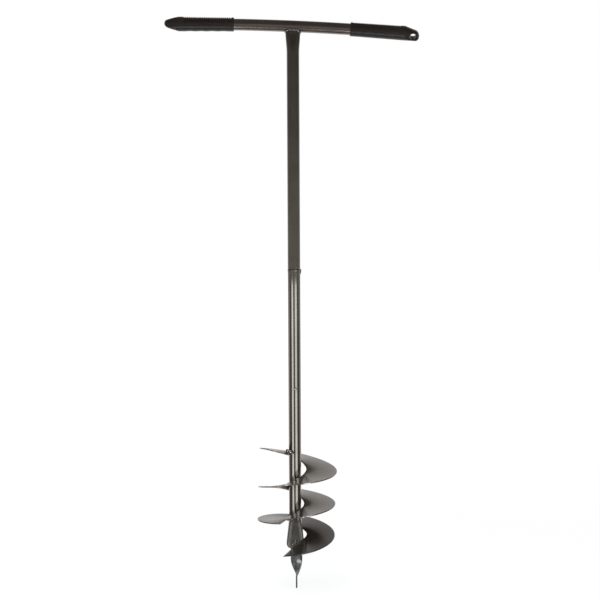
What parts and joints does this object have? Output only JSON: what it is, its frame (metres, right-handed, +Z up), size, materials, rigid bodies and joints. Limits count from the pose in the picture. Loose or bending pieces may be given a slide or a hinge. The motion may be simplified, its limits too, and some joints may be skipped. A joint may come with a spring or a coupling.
{
  "type": "hand earth auger",
  "caption": "T-handle hand auger: tube shaft with rubber-gripped crossbar, helical digging plates and a twisted flat point, for boring post and planting holes.",
  "frame": {"origin": "tip of the point, where the tool meets the ground", "axes": "+Z up the shaft, +X along the crossbar towards the right grip as seen from the front, -Y towards the person who looks at the front"},
  "size_m": [0.4846, 0.1526, 1.1046],
  "materials": {
    "shaft_paint": "thin dark bronze-grey paint over drawn tube, satin gloss",
    "bar_paint": "thin dark grey paint over drawn tube, satin gloss",
    "flight_paint": "grey-brown paint on rolled plate, satin, faintly mottled",
    "point_steel": "thin grey paint on twisted flat bar, satin",
    "weld": "painted-over weld metal, rippled, with rusty brown heat marks",
    "grip_rubber": "black moulded rubber, soft sheen"
  },
  "bodies": {
    "root": {"crossbar_tube": "bar_paint", "left_grip": "grip_rubber", "right_grip": "grip_rubber", "handle_weld_front": "weld", "handle_weld_back": "weld", "upper_shaft_tube": "shaft_paint", "shaft_joint_weld": "shaft_paint", "lower_shaft_tube": "shaft_paint", "plug_weld": "shaft_paint", "upper_flight": "flight_paint", "middle_flight": "flight_paint", "lower_flight": "flight_paint", "upper_flight_weld": "weld", "middle_flight_weld": "weld", "lower_flight_weld": "weld", "upper_joint_weld": "weld", "lower_joint_weld": "weld", "cutting_end_weld": "weld", "point_blade": "point_steel", "point_weld_front": "weld", "point_weld_back": "weld"}
  },
  "joints": []
}
